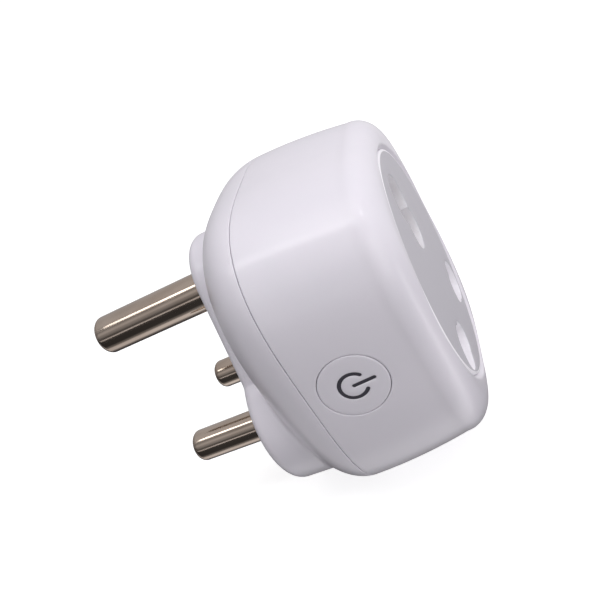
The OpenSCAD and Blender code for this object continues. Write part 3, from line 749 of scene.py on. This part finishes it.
def front_profile(direction):
    """Closed profile (distance from the middle, y) of the front shell's wall in one direction."""
    reach = section_reach(direction)

    def outside(angle):
        half_w = FRONT_HALF_W - FRONT_ROUND * (1 - math.sin(angle))
        return reach * half_w, FRONT_Y + FRONT_ROUND * (1 - math.cos(angle))

    if outside(0)[0] > opening_r(FRONT_Y) + OPENING_EDGE:
        first = 0.0
        corner = (opening_r(FRONT_Y), FRONT_Y)
        after = (corner[0] + OPENING_EDGE, FRONT_Y)
        flat = line(after, outside(0), 3)
    else:
        meeting = solve(lambda a: outside(a)[0] - opening_r(outside(a)[1]), -0.6, 1.2)
        corner = outside(meeting)
        first = meeting + OPENING_EDGE / FRONT_ROUND
        after = outside(first)
        flat = line(after, after, 3)
    before_y = corner[1] + OPENING_EDGE
    before = (opening_r(before_y), before_y)
    profile = [(OPENING_R, PLATE_SEAT_Y), (OPENING_R, FRONT_Y + FLARE_DEPTH - FLARE_LEAD / 2)]
    profile += bend(before, corner, after, 4) + flat
    profile += [outside(first + (math.pi / 2 - first) * (i + 1) / 14) for i in range(14)]
    rear_y = SEAM_Y - SEAM_GAP / 2
    start_y = FRONT_Y + FRONT_ROUND
    for i in range(1, 22):
        y = start_y + (rear_y - SEAM_EDGE - start_y) * i / 21
        profile.append((reach * side_half_w(y), y))
    outer = reach * side_half_w(rear_y)
    profile += bend(profile[-1], (outer, rear_y), (outer - SEAM_EDGE, rear_y), 4)[1:]
    lap_r = reach * (SEAM_HALF_W - WALL + TONGUE_T + TONGUE_GAP)
    lap_y = SEAM_Y - TONGUE_LEN - TONGUE_GAP
    profile += [(lap_r, rear_y), (lap_r, lap_y)]
    for i in range(9):
        y = lap_y + (PLATE_SEAT_Y + CAVITY_ROUND - lap_y) * i / 8
        profile.append((reach * (side_half_w(max(y, start_y)) - WALL), y))
    cavity_r = reach * (FRONT_HALF_W - WALL - CAVITY_STEP)
    return profile + [(cavity_r, PLATE_SEAT_Y + CAVITY_STEP), (cavity_r, PLATE_SEAT_Y)]


def button_tool(r):
    """Cutter for the button's hole, which leaves a small rounded edge along the curved side."""
    out, into = 1.0, 6.0
    rows = [(r + BUTTON_EDGE, -out)]
    rows += [(r + aside, depth) for aside, depth in rounding(BUTTON_EDGE, 5)]
    rows.append((r, into))
    start, end = on_side(0, 0, -out), on_side(0, 0, into)
    profiles = []
    for u, v in circle(1.0, 128):
        wall = [on_side(radius * u, radius * v, depth) for radius, depth in rows]
        profiles.append([start] + wall + [end])
    return add_mesh("button_tool", *loft(profiles, closed=False))


def make_front_housing():
    profiles = []
    for x, z in circle(1.0, 384):
        direction = unit(x, HEIGHT_RATIO * z)
        profiles.append([(r * direction[0], y, r * direction[1]) for r, y in front_profile(direction)])
    piece = add_piece("front_shell", *loft(profiles), "plug_body", "shell_white", ["front_housing"])
    cut(piece, [button_tool(BUTTON_R + BUTTON_GAP)])
    paint(piece, "shell_white")


# ---------------------------------------------------------------- rear shell

def foot_share(point):
    """How much of the wider fillet the boss has here: 1 low on its sides, 0 elsewhere."""
    angle = math.degrees(math.atan2(point[1] - BOSS_MID[1], abs(point[0])))
    return max(0.0, 1 - abs(angle - FOOT_ANGLE) / FOOT_SPREAD) ** 1.5


def boss_profile(point, normal, top_y, inset, dome_inset, edge_r, fillet):
    """Points from the boss's middle over its edge, down its wall and out over the dome to the seam.

    The points are moved in from the outside by inset on the boss and by dome_inset on the dome. The
    direction in which the points run out over the dome comes with them.
    """
    def moved(d):
        return point[0] - normal[0] * d, point[1] - normal[1] * d

    def on_dome(p):
        return dome_point(unit(*p), dome_angle(p, dome_inset), dome_inset)[1]

    profile = [(*BOSS_MID, top_y)] + [(*p, top_y) for p in line(BOSS_MID, moved(inset + edge_r), 5)]
    for aside, below in rounding(edge_r, 8)[1:]:
        profile.append((*moved(inset + aside), top_y - below))
    foot = moved(inset)
    foot_y = on_dome(foot)
    wall_top_y = top_y - edge_r
    rise = min(fillet, 0.8 * (wall_top_y - foot_y))
    for share in (0.33, 0.67, 1.0):
        profile.append((*foot, wall_top_y + (foot_y + rise - wall_top_y) * share))
    away = moved(inset - fillet)
    profile += bend((*foot, foot_y + rise), (*foot, foot_y), (*away, on_dome(away)), 7)[1:]
    direction = unit(*away)
    start = dome_angle(away, dome_inset)
    end = math.asin((SEAM_EDGE / (DOME_HEIGHT - dome_inset)) ** (DOME_POWER / 2))
    for i in range(1, 29):
        r, y = dome_point(direction, start + (end - start) * i / 28, dome_inset)
        profile.append((r * direction[0], r * direction[1], y))
    return [(x, y, z) for x, z, y in profile], direction


def make_rear_housing():
    outline = boss_outline(480, 5)
    profiles = []
    for point, normal in zip(outline, outward(outline)):
        fillet = BOSS_FILLET + (FOOT_FILLET - BOSS_FILLET) * foot_share(point)
        outer, direction = boss_profile(point, normal, 0, 0, 0, BOSS_ROUND, fillet)
        inner, inner_direction = boss_profile(
            point, normal, -FACE_WALL, FACE_WALL, WALL, INNER_EDGE, INNER_FILLET)
        r = SEAM_HALF_W * section_reach(direction)
        rim = bend((r, SEAM_Y + SEAM_EDGE), (r, SEAM_Y), (r - SEAM_EDGE, SEAM_Y), 4)[1:]
        rim_points = [(d * direction[0], y, d * direction[1]) for d, y in rim]
        reach = section_reach(inner_direction)
        inside_half_w = SEAM_HALF_W - WALL
        for half_w, y in ((inside_half_w + TONGUE_T, SEAM_Y),
                          (inside_half_w + TONGUE_T, SEAM_Y - TONGUE_LEN),
                          (inside_half_w, SEAM_Y - TONGUE_LEN)):
            d = half_w * reach
            rim_points.append((d * inner_direction[0], y, d * inner_direction[1]))
        profiles.append(outer + rim_points + inner[::-1])
    points, faces = loft(profiles, closed=False)
    piece = add_piece("rear_shell", points, faces, "plug_body", "shell_white", ["rear_housing"])
    tools = []
    for _, x, z, pin_r in PINS:
        r = pin_r + PIN_SHOULDER + BORE_GAP
        profile = [(0, -BORE_DEPTH), (r, -BORE_DEPTH)]
        profile += bend((r, -BORE_EDGE), (r, 0), (r + BORE_EDGE, 0), 3)
        profile += [(r + BORE_EDGE, 1), (0, 1)]
        tools.append(add_mesh("bore_tool", *lathe(profile, 96, along_y(x, z))))
    cut(piece, tools)
    paint(piece, "shell_white")


# ---------------------------------------------------------------- pins

def make_pins():
    for node, x, z, r in PINS:
        low, high = limits(node)
        tip_y = high.y
        flange_r, shoulder_r = r + PIN_FLANGE, r + PIN_SHOULDER
        profile = [
            (0, low.y), (PIN_TAIL_R - PIN_CHAMFER, low.y), (PIN_TAIL_R, low.y + PIN_CHAMFER),
            (PIN_TAIL_R, PIN_FLANGE_FRONT_Y), (flange_r - PIN_CHAMFER, PIN_FLANGE_FRONT_Y),
            (flange_r, PIN_FLANGE_FRONT_Y + PIN_CHAMFER), (flange_r, PIN_FLANGE_BACK_Y - PIN_CHAMFER),
            (flange_r - PIN_CHAMFER, PIN_FLANGE_BACK_Y), (shoulder_r, PIN_FLANGE_BACK_Y),
            (shoulder_r, -PIN_CHAMFER), (shoulder_r - PIN_SHOULDER_EDGE, 0.0), (r, 0.0),
        ]
        profile += line((r, 0.0), (r, tip_y - PIN_TIP_ROUND), 12)[:-1]
        profile += [(r - aside, tip_y - below) for below, aside in rounding(PIN_TIP_ROUND, 10)]
        profile += [((r - PIN_TIP_ROUND) * share, tip_y) for share in (0.8, 0.4, 0)]
        points, faces = lathe(profile, 128, along_y(x, z))
        piece = add_piece(node + "_turned", points, faces, "plug_body", "pin_nickel", [node], 30)
        paint(piece, "pin_nickel")


# ---------------------------------------------------------------- faceplate

def hole(small, small_r, large, large_r):
    """One of the outlet's holes, for a small and a large pin: its outline when grown by a length."""
    return lambda grow: two_circles(small, small_r, large, large_r, grow, 48)


def hole_rows(outline, front, back, edge, steps):
    """Rows of a hole's wall, whose front edge is rounded, from an outline that can be grown."""
    rows = [(outline(aside), front + below) for aside, below in rounding(edge, steps)]
    return rows + [(outline(0), back)]


def rib(low, high):
    """A rib standing along +Y with softened corners."""
    middle = ((low[0] + high[0]) / 2, (low[2] + high[2]) / 2)
    half_x, half_z = (high[0] - low[0]) / 2, (high[2] - low[2]) / 2
    corners = []
    for k, (right, top) in enumerate(((1, 1), (-1, 1), (-1, -1), (1, -1))):
        centre = (middle[0] + right * (half_x - GUIDE_EDGE),
                  middle[1] + top * (half_z - GUIDE_EDGE))
        corners += arc(centre, GUIDE_EDGE, math.pi / 2 * k, math.pi / 2 * (k + 1), 3)
    start, end = (middle[0], low[1], middle[1]), (middle[0], high[1], middle[1])
    return loft([[start, (x, low[1], z), (x, high[1], z), end] for x, z in corners], closed=False)


def make_face_plate():
    outer = [(circle(PLATE_R - aside), PLATE_FRONT_Y + below) for aside, below in rounding(PLATE_EDGE, 5)]
    outer += [(circle(PLATE_R), PLATE_SEAT_Y), (circle(PLATE_FLANGE_R), PLATE_SEAT_Y),
              (circle(PLATE_FLANGE_R), PLATE_BACK_Y)]
    outlines = (
        hole((0, SMALL_EARTH_Z), SMALL_EARTH_HOLE_R, (0, EARTH_Z), EARTH_HOLE_R),
        hole((SMALL_LIVE_X, LIVE_Z), SMALL_LIVE_HOLE_R, (LIVE_X, LIVE_Z), LIVE_HOLE_R),
        hole((-SMALL_LIVE_X, LIVE_Z), SMALL_LIVE_HOLE_R, (-LIVE_X, LIVE_Z), LIVE_HOLE_R),
    )
    holes = [hole_rows(outline, PLATE_FRONT_Y, PLATE_BACK_Y, HOLE_EDGE, 4) for outline in outlines]
    parts = [plate(outer, holes, True, 2.0, lambda u, v, depth: (u, depth, v))]
    for low, high in SHUTTER_GUIDES:
        parts += [rib((-high[0], *low[1:]), (-low[0], *high[1:])), rib(low, high)]
    piece = add_piece("outlet_plate", *join(parts), "plug_body", "plate_white", ["face_plate"], 32)
    paint(piece, "plate_white")


# ---------------------------------------------------------------- button

def symbol_arc(grow):
    """Outline of the power symbol's open ring, with rounded ends."""
    half = ICON_HALF_STROKE + grow
    start, end = math.pi - ICON_GAP_ANGLE, -math.pi + ICON_GAP_ANGLE
    ends = [(ICON_R * math.cos(a), ICON_R * math.sin(a)) for a in (start, end)]
    outer = arc((0, 0), ICON_R + half, end, start, 48)
    first = arc(ends[0], half, start, start + math.pi, 10)
    inner = arc((0, 0), ICON_R - half, start, end, 40)
    second = arc(ends[1], half, end + math.pi, end + 2 * math.pi, 10)
    return outer[:-1] + first[:-1] + inner[:-1] + second[:-1]


def symbol_bar(grow):
    """Outline of the power symbol's bar, which points at -Y."""
    half = ICON_HALF_STROKE + grow
    near, far = (-0.1, 0.0), (-ICON_BAR_LEN, 0.0)
    quarter = math.pi / 2
    return arc(near, half, -quarter, quarter, 10) + arc(far, half, quarter, 3 * quarter, 10)


def make_button():
    outer = [(circle(BUTTON_R - aside, 128), below) for aside, below in rounding(BUTTON_EDGE, 5)]
    outer.append((circle(BUTTON_R, 128), BUTTON_DEPTH))
    symbol = (symbol_arc, symbol_bar)
    holes = [hole_rows(outline, 0, ICON_DEPTH, ICON_EDGE, 3) for outline in symbol]
    cap = plate(outer, holes, False, 0.7, on_side)
    profile = [
        (0, 0), (BUTTON_FLANGE_R - BUTTON_CHAMFER, 0), (BUTTON_FLANGE_R, BUTTON_CHAMFER),
        (BUTTON_FLANGE_R, BUTTON_FLANGE_T), (BUTTON_STEM_R, BUTTON_FLANGE_T),
        (BUTTON_STEM_R - BUTTON_CHAMFER, BUTTON_FLANGE_T + BUTTON_CHAMFER),
        (BUTTON_STEM_R - BUTTON_CHAMFER, BUTTON_STEM_LEN), (0, BUTTON_STEM_LEN),
    ]
    flange = lathe(profile, 96, lambda u, v, h: (BUTTON_FLANGE_X + h, BUTTON_Y + u, v))
    piece = add_piece("power_button", *join([cap, flange]), "button", "shell_white", ["button_cap"], 35)
    paint(piece, "shell_white")
    inlays = []
    for outline in symbol:
        rows = [(outline(-aside), ICON_SINK + below) for aside, below in INLAY_ROWS]
        inlays.append(plate(rows, [], False, 0.5, on_side))
    piece = add_piece("power_symbol", *join(inlays), "button", "icon_grey", ["button_icon"], 35)
    paint(piece, "icon_grey")


# ---------------------------------------------------------------- camera, floor and light

def turned(degrees, axis):
    return Matrix.Rotation(math.radians(degrees), 4, axis)


def make_camera():
    """The view in the photograph: from the button's side, above and a little in front."""
    data = bpy.data.cameras.new("camera")
    data.sensor_width = 36
    data.lens = CAMERA_LENS
    data.clip_start = 0.01
    camera = bpy.data.objects.new("camera", data)
    upright_along_x = turned(-90, "Z") @ turned(90, "X")
    aim = turned(CAMERA_HEADING, "Z") @ turned(CAMERA_DIP, "Y")
    turn = aim @ upright_along_x @ turned(CAMERA_ROLL, "Z")
    camera.matrix_world = Matrix.Translation(Vector(CAMERA_AT) * MM) @ turn
    bpy.context.scene.collection.objects.link(camera)
    bpy.context.scene.camera = camera


def area_light(name, position, size, power, reflected=True):
    """A soft rectangular light at a position in millimetres, facing the body, its height along Y."""
    data = bpy.data.lights.new(name, "AREA")
    data.shape = "RECTANGLE"
    data.size, data.size_y = size[0] * MM, size[1] * MM
    data.energy = power
    light = bpy.data.objects.new(name, data)
    light.visible_glossy = reflected
    back = (Vector(position) - Vector(LIGHTS_AIM)).normalized()
    across = Vector((0, 1, 0)).cross(back).normalized()
    turn = Matrix((across, back.cross(across), back)).transposed().to_4x4()
    light.matrix_world = Matrix.Translation(Vector(position) * MM) @ turn
    bpy.context.scene.collection.objects.link(light)


def make_world():
    """Soft studio surroundings, brighter overhead, in front and straight below.

    Each stop is (degrees from +X, over the top to -X at 180, brightness). The dark stretches on the
    button's side and the thin bright line in their middle give the pins their streaks.
    """
    world = bpy.data.worlds.new("studio")
    world.use_nodes = True
    tree = world.node_tree
    nodes, links = tree.nodes, tree.links
    where = nodes.new("ShaderNodeTexCoord")
    parts = nodes.new("ShaderNodeSeparateXYZ")
    links.new(where.outputs["Generated"], parts.inputs[0])
    angle = nodes.new("ShaderNodeMath")
    angle.operation = "ARCTAN2"
    links.new(parts.outputs["Z"], angle.inputs[0])
    links.new(parts.outputs["X"], angle.inputs[1])
    share = nodes.new("ShaderNodeMapRange")
    share.inputs["From Min"].default_value = -math.pi
    share.inputs["From Max"].default_value = math.pi
    links.new(angle.outputs[0], share.inputs["Value"])
    ramp = nodes.new("ShaderNodeValToRGB")
    ramp.color_ramp.interpolation = "EASE"
    stops = [
        (-180, 0.08), (-165, 0.05), (-138, 0.05), (-122, 0.25), (-112, 0.85), (-95, 0.85), (-76, 0.19),
        (-60, 0.05), (-44, 0.08), (-20, 0.5), (45, 0.55), (90, 0.62), (122, 0.33), (138, 0.6),
        (150, 0.36), (170, 0.09), (180, 1.0),
    ]
    elements = ramp.color_ramp.elements
    for (degrees, value), element in zip((stops[0], stops[-1]), elements):
        element.position = (degrees + 180) / 360
        element.color = (value, value * 0.985, value * 1.01, 1)
    for degrees, value in stops[1:-1]:
        elements.new((degrees + 180) / 360).color = (value, value * 0.985, value * 1.01, 1)
    links.new(share.outputs["Result"], ramp.inputs["Fac"])
    links.new(ramp.outputs["Color"], nodes["Background"].inputs["Color"])
    strength = nodes.new("ShaderNodeMapRange")
    strength.inputs["From Min"].default_value = -1
    strength.inputs["To Min"].default_value = 2.2
    strength.inputs["To Max"].default_value = 0.4
    links.new(parts.outputs["Y"], strength.inputs["Value"])
    links.new(strength.outputs["Result"], nodes["Background"].inputs["Strength"])
    bpy.context.scene.world = world


def plain_stage(name, colour, glow):
    """White paint for the floor and backdrop, which glows a little so that it stays pale."""
    n = Nodes(name)
    n.rough(n.spread(n.noise(30), 0.8, 0.9))
    n.set(Base_Color=(*colour, 1), Emission_Color=(1, 1, 1, 1), Emission_Strength=glow)
    return n.material


def make_stage():
    """A plain floor under the object and a white backdrop far round it."""
    floor_z = CAD_BOX[0].z / MM - FLOOR_GAP
    bpy.ops.mesh.primitive_circle_add(
        vertices=96, radius=2.5, fill_type="NGON", location=(0, 0, floor_z * MM))
    floor = bpy.context.object
    floor.name = "floor"
    floor.data.materials.append(plain_stage("floor_white", (0.6, 0.6, 0.6), 0.68))
    bpy.ops.mesh.primitive_uv_sphere_add(segments=64, ring_count=32, radius=2.4, location=(0, 0, 0))
    backdrop = bpy.context.object
    backdrop.name = "backdrop"
    backdrop.data.materials.append(plain_stage("backdrop_white", (0.0, 0.0, 0.0), 1.05))
    for thing in (floor, backdrop):
        thing.visible_diffuse = False
        thing.visible_glossy = False
        thing.visible_transmission = False
    backdrop.visible_shadow = False


def make_lights():
    area_light("overhead", (-60, -70, 420), (260, 320), 0.28)
    area_light("streak", (-96, 60, 300), (46, 300), 0.13)
    area_light("front_fill", (-260, -340, 110), (300, 300), 0.28)
    area_light("low_fill", (-400, -180, -50), (200, 180), 0.15, reflected=False)
    area_light("side_fill", (-350, 70, 150), (200, 200), 0.165, reflected=False)
    area_light("glint", (-25, -270, 320), (50, 50), 0.06)


bpy.context.scene.view_settings.view_transform = "Standard"
paint_cad_nodes()
make_front_housing()
make_rear_housing()
make_pins()
make_face_plate()
make_button()
make_camera()
make_world()
make_stage()
make_lights()
